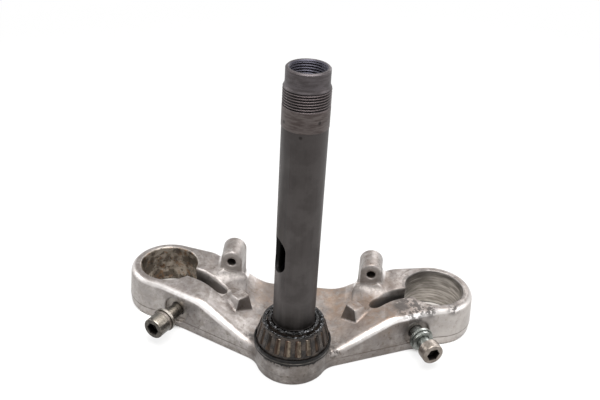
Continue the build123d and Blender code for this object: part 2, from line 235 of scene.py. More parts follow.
def between(tree, value, low, high, soft):
    """Mask that is 1 while a value lies between low and high, with edges that are soft wide."""
    rising = node(tree, "MapRange", {"Value": value, "From Min": low - soft, "From Max": low})
    falling = node(tree, "MapRange", {"Value": value, "From Min": high + soft, "From Max": high})
    return node(tree, "Math", {0: rising, 1: falling}, operation="MULTIPLY")


def layer(tree, below, above, *masks):
    """One colour over another, each a hex value or a socket. Its share is the product of masks and numbers."""
    share = masks[0]
    for mask in masks[1:]:
        share = node(tree, "Math", {0: share, 1: mask}, operation="MULTIPLY")
    low, high = [colour(c) if isinstance(c, str) else c for c in (below, above)]
    return node(tree, "Mix", {0: share, 6: low, 7: high}, 2, data_type="RGBA")


print("masks ready")

# %% [markdown]
# ## Sand-cast aluminium
# The yoke was poured in a sand mould. Its skin shows a fine grain and a dull, pale grey, and only the smoother ridges
# and machined faces shine. The ridges also carry a painted highlight, and upright faces painted shade. Years of road
# dirt left a warm grey bloom, brown stains on the web, black pits by the right clamp, rust from the fork tube in the
# left bore and turning rings in the right one. The two halves are mirror images, so most places are found from x
# without its sign.

# %% Places on the yoke
aluminium, tree, shader, place = start_material("sand-cast aluminium, weathered")
x, y, z = node(tree, "SeparateXYZ", {0: place}).node.outputs
normal = node(tree, "TexCoord", out="Normal")
_, facing_back, facing_up = node(tree, "SeparateXYZ", {0: normal}).node.outputs
mirrored_x = node(tree, "Math", {0: x}, operation="ABSOLUTE")
flat_place = node(tree, "CombineXYZ", {0: mirrored_x, 1: y})

# Horizontal distances from the stem's axis, a steering stop, a lug's toe, a mould pin's mark and a fork tube's axis.
stop_middle, toe_middle, pin_middle = np.array([(46, 35, 0), (53.8, 56, 0), (47, 43, 0)]) * MM
from_stem, from_stop, from_toe, from_pin, from_fork = [
    node(tree, "VectorMath", {0: flat_place, 1: middle}, "Value", operation="DISTANCE")
    for middle in (np.zeros(3), stop_middle, toe_middle, pin_middle, fork_axis)
]

# In a clamp, one axis runs along its slot to the stem and the other across it to the front.
to_fork = node(tree, "VectorMath", {0: flat_place, 1: fork_axis}, operation="SUBTRACT")
slot_axis = (-np.cos(arm_angle), -np.sin(arm_angle), 0)
front_axis = (np.sin(arm_angle), -np.cos(arm_angle), 0)
along = node(tree, "VectorMath", {0: to_fork, 1: slot_axis}, "Value", operation="DOT_PRODUCT")
across = node(tree, "VectorMath", {0: to_fork, 1: front_axis}, "Value", operation="DOT_PRODUCT")

# Settings for a number that differs on the left and the right, and for one that differs on level and upright faces.
sides = {"Value": x, "From Min": -MM, "From Max": MM}
right_side = node(tree, "MapRange", sides)
left_side = node(tree, "MapRange", {**sides, "To Min": 1.0, "To Max": 0.0})
slope = {"Value": facing_up, "From Min": 0.55, "From Max": 0.9}
upward_face = node(tree, "MapRange", slope)
upright = node(tree, "MapRange", {**slope, "To Min": 1.0, "To Max": 0.0})
print("a slot runs at", round(np.degrees(arm_angle), 1), "degrees")

# %% Skin, road dirt with painted shade, and stains
skin = layer(tree, "#827d7b", "#a09b98", blotches(tree, place, 16, 0.38, 0.62, seed=1))
skin = layer(tree, skin, "#726a63", blotches(tree, place, 5, 0.45, 0.66, seed=2), 0.6)
skin = layer(tree, skin, "#6c655f", blotches(tree, place, 1.3, 0.5, 0.65, seed=14), 0.35)

# Upright faces below the lugs are darker, most on the right arm: painted shade, broken up by blotches of road dirt.
on_arm = node(tree, "MapRange", {"Value": mirrored_x, "From Min": 100 * MM, "From Max": 74 * MM, "To Min": 0.2})
below_lug = node(tree, "MapRange", {"Value": z, "From Min": 34 * MM, "From Max": 31 * MM})
upright_dirt_and_shade = blotches(tree, place, 11, 0.35, 0.65, seed=15, give=(0.25, 0.6))
darker_right = node(tree, "MapRange", {**sides, "To Min": 0.1, "To Max": 1.0})
skin = layer(tree, skin, "#625952", upright, upright_dirt_and_shade, below_lug, darker_right, on_arm)
mottling = blotches(tree, place, 3.5, 0.38, 0.62, seed=20, give=(0.12, 0.5))
skin = layer(tree, skin, "#655a53", upward_face, mottling)
# Painted light: the clamps' upright walls are lighter, more on the right.
on_clamp = node(tree, "MapRange", {"Value": mirrored_x, "From Min": 94 * MM, "From Max": 108 * MM})
paler_right = node(tree, "MapRange", {**sides, "To Min": 0.2, "To Max": 0.5})
skin = layer(tree, skin, "#bfb9b4", on_clamp, upright, paler_right)
specks = blotches(tree, place, 2.4, 0.56, 0.66, seed=19, detail=6.0)
off_clamp = {"Value": mirrored_x, "From Min": 100 * MM, "From Max": 80 * MM, "To Min": 0.25, "To Max": 0.6}
skin = layer(tree, skin, "#51463d", specks, node(tree, "MapRange", off_clamp))

on_web = near(tree, place, (14, 58, 13, 24, 68))
skin = layer(tree, skin, "#a08b79", on_web, upward_face, blotches(tree, place, 9, 0.42, 0.62, seed=3), 0.42)
skin = layer(tree, skin, "#8d7b6f", near(tree, place, (60, 36, 22, 22, 50)), upward_face, right_side, 0.25)
skin = layer(tree, skin, "#6f635b", near(tree, place, (-10, 78, 13, 16, 44)), upward_face, 0.65)
skin = layer(tree, skin, "#866c57", on_web, upward_face, blotches(tree, place, 3, 0.54, 0.68, seed=4), 0.5)
stained = near(tree, place, (34, 44, 15, 4, 16), (24, 66, 13, 4, 18), (58, 50, 24, 3, 13), (62, 28, 26, 5, 20))
skin = layer(tree, skin, "#846d5a", stained, blotches(tree, place, 4, 0.38, 0.6, seed=17, detail=6.0), 0.6)
print(len(tree.nodes), "nodes so far")

# %% [markdown]
# ## Painted shade in hollows and painted highlights on ridges
# Where walls hide the sky, found by ambient occlusion, the colour is darkened as painted shade with grime. A ridge is a
# raised face that leans about half way up. It gets a near-white painted highlight that fades near the stops, toes, stem
# and bores.

# %% Painted shade in hollows, painted ridge highlights and slots
# Painted shade: darker where ambient occlusion finds walls close by.
open_sky = node(tree, "AmbientOcclusion", {"Distance": 9 * MM}, "AO", samples=8)
depth = {"Value": open_sky, "From Min": 0.8, "From Max": 0.3}
skin = layer(tree, skin, "#574c44", node(tree, "MapRange", depth), 0.65)

# For each fade: a measure, where it is faint and where it is full in mm, and how faint.
highlight_fades = [
    (from_stop, 15, 20, 0.1),
    (from_toe, 15, 21, 0.1),
    (from_stem, 34, 68, 0.05),
    (from_fork, 25, 27, 0.2),
    (mirrored_x, 112, 84, 0.4),
    (z, 38, 34, 0.1),
]
# Painted highlight: a near-white colour on raised faces that lean about half way up.
raised = node(tree, "MapRange", {**depth, "To Min": 1.0, "To Max": 0.0})
ridge_highlight = node(tree, "Math", {0: raised, 1: between(tree, facing_up, 0.5, 0.78, 0.16)}, operation="MULTIPLY")
for measure, faint_mm, full_mm, least in highlight_fades:
    fading = {"Value": measure, "From Min": faint_mm * MM, "From Max": full_mm * MM, "To Min": least}
    ridge_highlight = node(tree, "Math", {0: ridge_highlight, 1: node(tree, "MapRange", fading)}, operation="MULTIPLY")
uneven = blotches(tree, place, 7, 0.3, 0.6, seed=16, give=(0.6, 1.0))
ridge_highlight = node(tree, "Math", {0: ridge_highlight, 1: uneven}, operation="MULTIPLY")
skin = layer(tree, skin, "#eae6e4", ridge_highlight, 0.95)

# The arm's top rises from the web to the clamp, and a slot's painted shade is measured down from it.
arm_rise = {"From Min": 31 * MM, "From Max": 70.5 * MM, "To Min": 13.5 * MM, "To Max": 31.4 * MM}
arm_top = node(tree, "MapRange", {"Value": mirrored_x, **arm_rise})
below_top = node(tree, "Math", {0: arm_top, 1: z}, operation="SUBTRACT")
in_slot = [
    between(tree, across, -6.1 * MM, 6.1 * MM, 0.3 * MM),
    between(tree, along, 20 * MM, 54.2 * MM, 0.3 * MM),
]
# Painted shade in the slots: darker further below the top and on the right, paler towards the web.
to_web = node(tree, "MapRange", {"Value": along, "From Min": 29 * MM, "From Max": 46 * MM, "To Max": 0.65})
paler_left = node(tree, "MapRange", {**sides, "To Min": 1.0, "To Max": 0.4})
slot_shade = layer(tree, "#393330", "#171413", right_side)
slot_shade = layer(tree, slot_shade, "#978c86", to_web, paler_left)
slot_depth_shade = node(tree, "MapRange", {"Value": below_top, "From Min": 1.5 * MM, "From Max": 8 * MM, "To Max": 0.9})
skin = layer(tree, skin, slot_shade, *in_slot, slot_depth_shade)
# A painted highlight along the top of the left slot's walls.
slot_edge_highlight = node(tree, "MapRange", {"Value": below_top, "From Min": 3 * MM, "From Max": 2 * MM, "To Max": 0.6})
skin = layer(tree, skin, "#b9b3ae", *in_slot, slot_edge_highlight, left_side)
# A painted highlight along the far edge of each slot, faint on the right.
far_edge_highlight = [
    between(tree, across, -7.2 * MM, -6.0 * MM, 0.5 * MM),
    between(tree, along, 24 * MM, 48 * MM, 4 * MM),
    node(tree, "MapRange", {**sides, "To Min": 0.6, "To Max": 0.1}),
    node(tree, "MapRange", {"Value": below_top, "From Min": 3.5 * MM, "From Max": 1.5 * MM}),
    blotches(tree, place, 4, 0.3, 0.6, seed=23, give=(0.4, 1.0)),
]
skin = layer(tree, skin, "#dcd6d2", *far_edge_highlight)
print(len(highlight_fades), "fades on the ridges")

# %% [markdown]
# ## Machined faces, marks and grease
# Tools left the bolts' counterbores and the fork bores cleaner than the cast skin, and the mould left a seam round the
# walls and a round pin mark by each stop. Grease has crept from the bearing down over the boss.

# %% Bores, marks and pits
bolt_along, bolt_height = 27.8 * MM, 15 * MM
bolt_plane = node(tree, "CombineXYZ", {0: along, 1: z})
from_bolt = node(tree, "VectorMath", {0: bolt_plane, 1: (bolt_along, bolt_height, 0)}, "Value", operation="DISTANCE")
counterbore = [
    node(tree, "MapRange", {"Value": from_bolt, "From Min": 10.4 * MM, "From Max": 10.2 * MM}),
    node(tree, "MapRange", {"Value": across, "From Min": 14 * MM, "From Max": 15 * MM}),
    node(tree, "MapRange", {**sides, "To Min": 0.45, "To Max": 0.2}),
]
skin = layer(tree, skin, "#b3aca4", *counterbore)

seam = between(tree, z, 7.4 * MM, 7.8 * MM, 0.4 * MM)
broken = blotches(tree, place, 9, 0.25, 0.5, seed=9)
off_boss = {"Value": from_stem, "From Min": 30 * MM, "From Max": 40 * MM, "To Min": 0.3, "To Max": 0.7}
skin = layer(tree, skin, "#4a4039", seam, broken, upright, node(tree, "MapRange", off_boss))
pin_mark = between(tree, from_pin, 7.7 * MM, 8.0 * MM, 0.35 * MM)
skin = layer(tree, skin, "#5b4b40", pin_mark, upward_face, 0.45)

pit_places = [(84, 36, 31, 8, 17), (98, 36, 31, 3, 9), (117, 40, 31, 2, 8), (-30, 6, 15, 1, 7), (30, -1, 14, 3, 8)]
pits = [near(tree, place, *pit_places), blotches(tree, place, 3.4, 0.45, 0.53, seed=5, detail=8.0)]
pits = node(tree, "Math", {0: pits[0], 1: pits[1]}, operation="MULTIPLY")
scuff = [near(tree, place, (77, 36, 31, 3, 9)), blotches(tree, place, 3.0, 0.34, 0.44, seed=18, detail=8.0)]
scuff = node(tree, "Math", {0: scuff[0], 1: scuff[1]}, operation="MULTIPLY")
skin = layer(tree, skin, "#34302e", node(tree, "Math", {0: pits, 1: scuff}, operation="MAXIMUM"), 0.85)
on_rim = between(tree, from_fork, 22 * MM, 24.5 * MM, 0.6 * MM)
skin = layer(tree, skin, "#4d4845", on_rim, right_side, blotches(tree, place, 6, 0.46, 0.62, seed=10), 0.6)

in_bore = node(tree, "MapRange", {"Value": from_fork, "From Min": 22.5 * MM, "From Max": 22.2 * MM})
rust = layer(tree, "#5d554c", "#aaa196", blotches(tree, place, 9, 0.42, 0.6, seed=6))
rust = layer(tree, rust, "#7d5836", blotches(tree, place, 4, 0.54, 0.64, seed=7), 0.6)
rust = layer(tree, rust, "#332c26", blotches(tree, place, 3, 0.52, 0.62, seed=8, detail=7.0), 0.75)
skin = layer(tree, skin, rust, in_bore, left_side)
# Turning rings are noise that is drawn out round the bore and squeezed along it.
ring_place = node(tree, "Mapping", {"Vector": place, "Scale": (0.4, 0.4, 3.0)})
rings = layer(tree, "#8d8882", "#cdc8c3", blotches(tree, ring_place, 6, 0.36, 0.64, seed=11))
high_band = node(tree, "MapRange", {"Value": z, "From Min": 24 * MM, "From Max": 31 * MM})
rings = layer(tree, rings, "#3f3b39", high_band, 0.8)
far_wall = near(tree, place, (84, 82, 28, 8, 30))
rings = layer(tree, rings, "#4a4642", far_wall, blotches(tree, ring_place, 5, 0.25, 0.55, seed=21), 0.75)
skin = layer(tree, skin, rings, in_bore, right_side)
print(len(pit_places), "pitted places")

# %% Boss, stops, lugs and the finished skin
on_boss = between(tree, from_stem, 0, 28 * MM, 4 * MM)
skin = layer(tree, skin, "#4b4541", on_boss, blotches(tree, place, 10, 0.2, 0.75, seed=13), 0.75)
ooze_level = node(tree, "MapRange", {"Value": z, "From Min": 12.5 * MM, "From Max": 18 * MM})
ooze_edge = node(tree, "Math", {0: ooze_level, 1: blotches(tree, place, 7, 0.3, 0.7, seed=12)}, operation="MULTIPLY")
ooze_edge = node(tree, "MapRange", {"Value": ooze_edge, "From Min": 0.3, "From Max": 0.5})
ooze = node(tree, "Math", {0: on_boss, 1: ooze_edge}, operation="MULTIPLY")
skin = layer(tree, skin, "#14110f", ooze, 0.9)

# Painted shade on the stops' faces that turn towards the stem.
on_stop = node(tree, "MapRange", {"Value": from_stop, "From Min": 17 * MM, "From Max": 14 * MM, "To Max": 0.6})
inward_x = node(tree, "MapRange", {**sides, "To Min": 0.72, "To Max": -0.72})
inward = node(tree, "CombineXYZ", {0: inward_x, 1: -0.69})
to_stem = node(tree, "VectorMath", {0: normal, 1: inward}, "Value", operation="DOT_PRODUCT")
to_stem = node(tree, "MapRange", {"Value": to_stem, "From Min": 0.55, "From Max": 0.85})
skin = layer(tree, skin, "#3f3631", on_stop, to_stem)
# Painted light on the lugs' front faces.
lug_front_light = [
    node(tree, "MapRange", {"Value": facing_back, "From Min": -0.6, "From Max": -0.9}),
    node(tree, "MapRange", {"Value": z, "From Min": 30 * MM, "From Max": 34 * MM}),
    node(tree, "MapRange", {**sides, "To Min": 0.5, "To Max": 0.3}),
]
skin = layer(tree, skin, "#bcb5b0", *lug_front_light)
# A painted highlight round the foot of each lug's toe.
on_toe = node(tree, "MapRange", {"Value": from_toe, "From Min": 17 * MM, "From Max": 9 * MM})
toe_highlight_band = between(tree, z, 27.5 * MM, 29 * MM, 2.5 * MM)
skin = layer(tree, skin, "#e4deda", on_toe, toe_highlight_band, blotches(tree, place, 3, 0.38, 0.6, seed=22, give=(0.35, 0.7)))

# Sand leaves a grain of about 0.3 mm, too fine to show here, so it is drawn 1.1 mm wide. Cast edges are never sharp:
# the light on them is that of edges rounded to 2.6 mm. The toes have the dullest skin and the ooze is wet.
grain = node(tree, "TexNoise", {"Vector": place, "Scale": 1 / (1.1 * MM), "Detail": 5.0, "Roughness": 0.6})
dents = node(tree, "TexNoise", {"Vector": place, "Scale": 1 / (9 * MM), "Detail": 2.0})
height = node(tree, "Math", {0: dents, 1: 4.0, 2: grain}, operation="MULTIPLY_ADD")
soft_edges = node(tree, "Bevel", {"Radius": 2.6 * MM}, samples=8)
bump = node(tree, "Bump", {"Height": height, "Strength": 0.6, "Distance": 0.1 * MM, "Normal": soft_edges})
by_toe = node(tree, "MapRange", {"Value": from_toe, "From Min": 24 * MM, "From Max": 17 * MM})
toe_height = node(tree, "MapRange", {"Value": z, "From Min": 33 * MM, "From Max": 31 * MM})
by_toe = node(tree, "Math", {0: by_toe, 1: toe_height}, operation="MULTIPLY")
rough = node(tree, "MapRange", {"Value": grain, "To Min": 0.34, "To Max": 0.54})
for mask, roughness in ((ridge_highlight, 0.3), (by_toe, 0.85), (ooze, 0.18)):
    rough = node(tree, "Mix", {0: mask, 2: rough, 3: roughness})
# Bare aluminium is all metal. The bloom on it isn't, so it counts as a little less.
feed(tree, shader, {"Base Color": skin, "Roughness": rough, "Metallic": 0.78, "Normal": bump})
dress(nodes["bottom_yoke"], aluminium)
print(len(tree.nodes), "nodes in", aluminium.name)

# %% [markdown]
# ## Surfaces from grids of points
# A turned piece is a profile carried round an axis. Its points fill a grid: one row for each point of the profile,
# one column for each step round. A screw thread is the same grid with a radius that also depends on the angle, so
# each row is a little wavy, and the groove climbs as it goes round. One helper makes the mesh from any such grid.

# %% From a grid to a mesh


def surface(name, grid, ring=False, threaded=None):
    """Mesh of a grid of points that closes from the last column to the first.

    With ring the last row also meets the first one. Without it, the first and last rows close to their middles.
    The sum of a . (b x c) / 6 over the triangles is the volume, and a negative one turns all faces round. Edges
    over 35 degrees are kept sharp, apart from those between threaded rows, where a thread climbs across the grid.
    """
    rows, columns, _ = grid.shape
    points = grid.reshape(-1, 3)
    index = np.arange(rows * columns).reshape(rows, columns)
    beside = np.roll(index, -1, axis=1)
    corners = np.stack([index, beside, np.roll(beside, -1, axis=0), np.roll(index, -1, axis=0)], axis=-1)
    caps = np.empty((0, 3), int)
    if not ring:
        corners = corners[:-1]
        ends = rows * columns + np.arange(2)
        points = np.vstack([points, grid[0].mean(axis=0), grid[-1].mean(axis=0)])
        first = np.column_stack([np.full(columns, ends[0]), beside[0], index[0]])
        last = np.column_stack([np.full(columns, ends[1]), index[-1], beside[-1]])
        caps = np.vstack([first, last])
    quads = corners.reshape(-1, 4)
    triangles = np.vstack([quads[:, [0, 1, 2]], quads[:, [0, 2, 3]], caps])
    a, b, c = points[triangles].transpose(1, 0, 2)
    if np.sum(a * np.cross(b, c)) < 0:
        quads, caps = quads[:, ::-1], caps[:, ::-1]
    mesh = bpy.data.meshes.new(name)
    mesh.from_pydata(points.tolist(), [], quads.tolist() + caps.tolist())
    mesh.shade_smooth()
    mesh.set_sharp_from_angle(angle=np.radians(35))
    if threaded is not None:
        edges = np.empty(2 * len(mesh.edges), np.int32)
        sharp = np.empty(len(mesh.edges), bool)
        mesh.edges.foreach_get("vertices", edges)
        mesh.edges.foreach_get("use_edge_sharp", sharp)
        on_thread = np.append(np.repeat(threaded, columns), [False, False])
        smooth = on_thread[edges.reshape(-1, 2)].all(axis=1)
        mesh.edges.foreach_set("use_edge_sharp", sharp & ~smooth)
    piece = bpy.data.objects.new(name, mesh)
    bpy.context.scene.collection.objects.link(piece)
    return piece


def v_thread(angle, along, pitch):
    """Depth of a right-hand thread from 0 at its crest to 1 at its root: a V with a flat crest and a round root."""
    wave = np.abs(2 * np.mod(along / pitch - angle / (2 * np.pi), 1) - 1)
    return np.clip(1.25 * (1 - wave) - 0.15, 0, 1) ** 0.9


def fade(along, low, high, run):
    """1 between two places, falling to 0 over a run beyond each."""
    return np.clip(np.minimum(along - low + run, high + run - along) / run, 0, 1)


print("a thread one pitch up is at the same depth:", v_thread(0.3, 1.0, 1.5) == v_thread(0.3, 2.5, 1.5))

# %% [markdown]
# ## Steering stem
# The stem is a turned steel tube. Its top has a fine thread outside for the adjuster nut and one inside for the cap
# bolt, and an oval hole low in its wall takes the steering lock. The tube is one closed ring of rows, up the outside,
# over the rim and down the inside. The two threads are cut into the radius. The lock hole is cut last, with a boolean.

# %% Steering stem
stem_pitch, rows_per_turn = 1.75, 12
around = np.linspace(0, 2 * np.pi, 144, endpoint=False)
outside = np.array([
    (14.2, 0.5), (15.0, 1.3), (15.0, 40.0), (14.75, 40.25), (14.75, 188.85), (15.0, 189.1),
    (15.0, 202.2), (14.95, 202.5), (14.95, 214.2), (14.7, 214.7), (14.3, 215.3), (14.0, 216.2), (13.85, 217.2),
    (13.8, 218.4), (13.8, 225.8), (13.0, 226.6),
])
inside = np.array([(12.0, 226.6), (11.2, 225.8), (11.2, 202.6), (10.5, 201.9), (10.5, 0.5)])

# For each thread: the span of its full depth, the depth and its run-out, and the spans of its rows and smooth edges.
thread_span, thread_depth, thread_run = (203.0, 213.9), 0.8, 0.6
thread_rows, thread_smooth = (202.4, 214.4), (202.6, 214.1)
cap_span, cap_depth, cap_run = (203.0, 225.4), 0.7, 0.5
cap_rows, cap_smooth = (202.7, 225.7), (202.8, 225.6)


def dense(profile, low, high, step):
    """A profile of (radius, height) rows with more rows, step apart, where its height lies between low and high."""
    sign = 1 if profile[-1, 1] > profile[0, 1] else -1
    extra = np.arange(low, high, step)
    known = profile[np.argsort(sign * profile[:, 1], kind="stable")]
    radius = np.interp(sign * extra, sign * known[:, 1], known[:, 0])
    rows = np.vstack([profile, np.column_stack([radius, extra])])
    return rows[np.argsort(sign * rows[:, 1], kind="stable")]


shaft = dense(outside, *thread_rows, stem_pitch / rows_per_turn)
tube = dense(inside, *cap_rows, stem_pitch / rows_per_turn)
cut_out = v_thread(around, shaft[:, 1:], stem_pitch) * fade(shaft[:, 1:], *thread_span, thread_run) * thread_depth
cut_in = v_thread(around, tube[:, 1:], stem_pitch) * fade(tube[:, 1:], *cap_span, cap_run) * cap_depth
radius = np.vstack([shaft[:, :1] - cut_out, tube[:, :1] + cut_in])
heights = np.concatenate([shaft[:, 1], tube[:, 1]])
heights = np.repeat(heights[:, None], len(around), axis=1)
stem_grid = np.stack([radius * np.cos(around), radius * np.sin(around), heights], axis=-1) * MM
on_shaft = (shaft[:, 1] > thread_smooth[0]) & (shaft[:, 1] < thread_smooth[1])
in_tube = (tube[:, 1] > cap_smooth[0]) & (tube[:, 1] < cap_smooth[1])
stem = surface("steering_stem_turned", stem_grid, ring=True, threaded=np.concatenate([on_shaft, in_tube]))

# The lock hole's cutter is an oval rod that starts in the bore and ends outside the wall.
lock_turn, lock_height, lock_half_width, lock_half_straight = np.radians(208.5), 96.4, 8.0, 5.2
oval = np.where(np.sin(around) > 0, lock_half_straight, -lock_half_straight) + lock_half_width * np.sin(around)
outward = np.array([np.cos(lock_turn), np.sin(lock_turn), 0])
sideways = np.array([-np.sin(lock_turn), np.cos(lock_turn), 0])
rod_ends = np.array([2.0, 30.0])[:, None, None]
lock_grid = rod_ends * outward + (lock_half_width * np.cos(around))[:, None] * sideways
lock_grid = lock_grid + np.stack([0 * oval, 0 * oval, lock_height + oval], axis=-1)
lock = surface("lock_hole_cutter", lock_grid * MM)
hole = stem.modifiers.new("lock hole", "BOOLEAN")
hole.object = lock
hole.solver = "EXACT"
ready = bpy.context.evaluated_depsgraph_get()
pierced = bpy.data.meshes.new_from_object(stem.evaluated_get(ready))
stem.modifiers.clear()
stem.data = pierced
pierced.name = "steering_stem_turned"
bpy.data.objects.remove(lock)
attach(stem, "yoke")
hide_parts("steering_stem")
print("stem with", len(pierced.polygons), "faces")

# %% [markdown]
# ## Dark steel
# The stem was turned from steel tube. It has gone dark and dull with age and old oil, so it gives soft, broad glints,
# with faint streaks along it. Its bearing seat has browned. The thread's crests carry a painted highlight and its roots
# painted shade, both following the distance from the axis.

# %% Stem steel
stem_steel, tree, shader, place = start_material("dark turned steel, oiled")
z = node(tree, "SeparateXYZ", {0: place}, 2)
long_place = node(tree, "Mapping", {"Vector": place, "Scale": (1, 1, 0.08)})
band_place = node(tree, "Mapping", {"Vector": place, "Scale": (0.5, 0.5, 3)})
level_place = node(tree, "VectorMath", {0: place, 1: (1, 1, 0)}, operation="MULTIPLY")
from_axis = node(tree, "VectorMath", {0: level_place}, "Value", operation="LENGTH")

steel = layer(tree, "#3d3938", "#423e3d", blotches(tree, long_place, 4, 0.35, 0.65, seed=1))
steel = layer(tree, steel, "#4a4645", blotches(tree, place, 14, 0.42, 0.62, seed=2), 0.7)
browned = layer(tree, "#57504e", "#413937", blotches(tree, band_place, 4, 0.4, 0.62, seed=3))
steel = layer(tree, steel, browned, between(tree, z, 189.2 * MM, 202.2 * MM, 0.4 * MM))
# Painted highlight on the thread's crests and painted shade in its roots.
crest_highlight = node(tree, "MapRange", {"Value": from_axis, "From Min": 14.45 * MM, "From Max": 14.9 * MM})
thread_shade = layer(tree, "#171314", "#544c4c", crest_highlight)
steel = layer(tree, steel, thread_shade, between(tree, z, 202.4 * MM, 214.3 * MM, 0.2 * MM))
turned = layer(tree, "#3f3a3b", "#524d4f", blotches(tree, band_place, 5, 0.38, 0.62, seed=6))
steel = layer(tree, steel, turned, between(tree, z, 214.4 * MM, 227 * MM, 0.3 * MM), 0.85)
inner = node(tree, "MapRange", {"Value": from_axis, "From Min": 12.0 * MM, "From Max": 11.7 * MM})
steel = layer(tree, steel, "#3a3a44", inner, 0.8)
upper = node(tree, "MapRange", {"Value": z, "From Min": 120 * MM, "From Max": 186 * MM, "To Max": 0.3})
steel = layer(tree, steel, "#2b2726", upper, between(tree, z, 0, 189 * MM, 0.2 * MM))
nicks = near(tree, place, (9.3, -11.7, 196, 0.6, 1.6), (-12.4, -8.3, 193.5, 0.6, 1.6), (-1.5, -15, 186.5, 0.6, 1.6))
steel = layer(tree, steel, "#1f1b1a", nicks, 0.8)
foot = node(tree, "MapRange", {"Value": z, "From Min": 62 * MM, "From Max": 42 * MM})
oily = blotches(tree, long_place, 5, 0.3, 0.6, seed=5, give=(0.45, 1.0))
steel = layer(tree, steel, "#1b1715", foot, oily, 0.85)
smear = node(tree, "MapRange", {"Value": z, "From Min": 53 * MM, "From Max": 42 * MM})
steel = layer(tree, steel, "#110e0c", smear, blotches(tree, place, 7, 0.4, 0.6, seed=7, give=(0.35, 0.9)))
# Painted shade: the cut wall of the lock hole is near black.
lock_span = between(tree, z, 82 * MM, 111 * MM, 0.5 * MM)
shaded_cut_wall = node(tree, "MapRange", {"Value": from_axis, "From Min": 14.65 * MM, "From Max": 14.5 * MM})
steel = layer(tree, steel, "#0d0b0a", lock_span, shaded_cut_wall)

# Tool marks of a tenth of a millimetre wouldn't show, so the fine relief is drawn 0.8 mm wide.
fine = node(tree, "TexNoise", {"Vector": place, "Scale": 1 / (0.8 * MM), "Detail": 3.0})
bump = node(tree, "Bump", {"Height": fine, "Strength": 0.25, "Distance": 0.03 * MM})
rough = blotches(tree, long_place, 3, 0.3, 0.7, seed=4, give=(0.46, 0.54))
feed(tree, shader, {"Base Color": steel, "Roughness": rough, "Metallic": 0.8, "Normal": bump})
dress(stem, stem_steel)
print(len(tree.nodes), "nodes in", stem_steel.name)

# %% [markdown]
# ## Pinch bolts
# Each fork clamp closes with a socket head cap screw. Its whole skin is one grid: up the threaded shank, out under
# the head, up its side, in over the rim, down the six flats of the socket and in to the middle. The flats come from
# a radius that depends on the angle: half the width across flats, divided by the cosine of the angle from the
# middle of the flat.

# %% Pinch bolts
bolt_pitch, bolt_radius, bolt_length, plain_shank = 1.5, 5.0, 55.0, 23.0
socket_half, socket_depth = 4.0, 5.0
point_height, groove_depth, groove_run = 1.2, 0.7, 1.0
head_height_mm = {"left": 10.0, "right": 8.0}
bolt_middle_mm = np.array([78.2290, 52.0879, 15.0])
under_head_mm = {"left": 45.4, "right": 45.9}

bolt_around = np.linspace(0, 2 * np.pi, 72, endpoint=False)
flat_angle = np.mod(bolt_around + np.pi / 6, np.pi / 3) - np.pi / 6
hexagon = socket_half / np.cos(flat_angle)
circle = np.ones_like(bolt_around)
low_end = -bolt_length
shank_heights = np.arange(low_end + point_height, -plain_shank, bolt_pitch / 10)
cut_span = (low_end + point_height, -plain_shank - bolt_pitch)
groove = v_thread(bolt_around, shank_heights[:, None], bolt_pitch)
groove = groove * fade(shank_heights[:, None], *cut_span, groove_run) * groove_depth


def bolt_skin(head_height):
    """Radii and heights of a bolt's rows, from its point over the head's rim and down into the socket."""
    rows = [(circle * 3.6, low_end), (circle * 3.8, low_end)]
    rows += list(zip(bolt_radius - groove, shank_heights))
    collar = [(5.0, -plain_shank), (5.0, -0.4), (5.05, 0.0), (7.8, 0.0), (8.0, 0.2), (8.0, 1.0)]
    rim = [(8.0, -1.1), (7.92, -0.65), (7.7, -0.28), (7.35, -0.06), (7.0, 0.0), (5.6, 0.0)]
    socket = [(1.12, 0.0), (1.0, -0.5), (1.0, 0.2 - socket_depth), (0.96, -socket_depth)]
    point = [(2.4, -socket_depth - 0.8), (0.6, -socket_depth - 1.4)]
    rows += [(circle * r, h) for r, h in collar]
    rows += [(circle * r, head_height + h) for r, h in rim]
    rows += [(hexagon * k, head_height + h) for k, h in socket]
    rows += [(circle * r, head_height + h) for r, h in point]
    radii, heights = zip(*rows)
    return np.array(radii), np.array([np.broadcast_to(h, bolt_around.shape) for h in heights])


bolts = {}
for side, sign in (("left", -1), ("right", 1)):
    out = np.array([sign * np.sin(arm_angle), -np.cos(arm_angle), 0])
    first_axis = np.array([0.0, 0.0, 1.0])
    second_axis = np.cross(out, first_axis)
    centre = bolt_middle_mm * [sign, 1, 1]
    bolt_radii, bolt_heights = bolt_skin(head_height_mm[side])
    along = (bolt_heights + under_head_mm[side])[..., None] * out
    across = (bolt_radii * np.cos(bolt_around))[..., None] * first_axis
    across = across + (bolt_radii * np.sin(bolt_around))[..., None] * second_axis
    on_shank = np.arange(len(bolt_radii)) < len(shank_heights)
    bolt = surface(f"{side}_pinch_bolt_turned", (centre + along + across) * MM, threaded=on_shank)
    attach(bolt, f"{side}_pinch_bolt")
    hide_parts(f"{side}_pinch_bolt")
    bolts[side] = bolt
    print(bolt.name, len(bolt.data.polygons), "faces")

# %% [markdown]
# ## Plated steel
# The bolts and washers were zinc plated, which gives small, bright glints on a cool grey until dirt dulls it. The left
# bolt is dull and oily all over. The right one kept a bright shank, and only its head has browned. The sockets are
# packed with grime. One recipe makes all five finishes, from four colours each, and gives each a painted highlight on
# the side towards the lamps and painted shade on the side away from them and in crevices.

# %% Bolt and washer finishes
# The side, towards the lamps, that the painted highlight faces.
lit_side = (0.35, -0.3, 0.89)


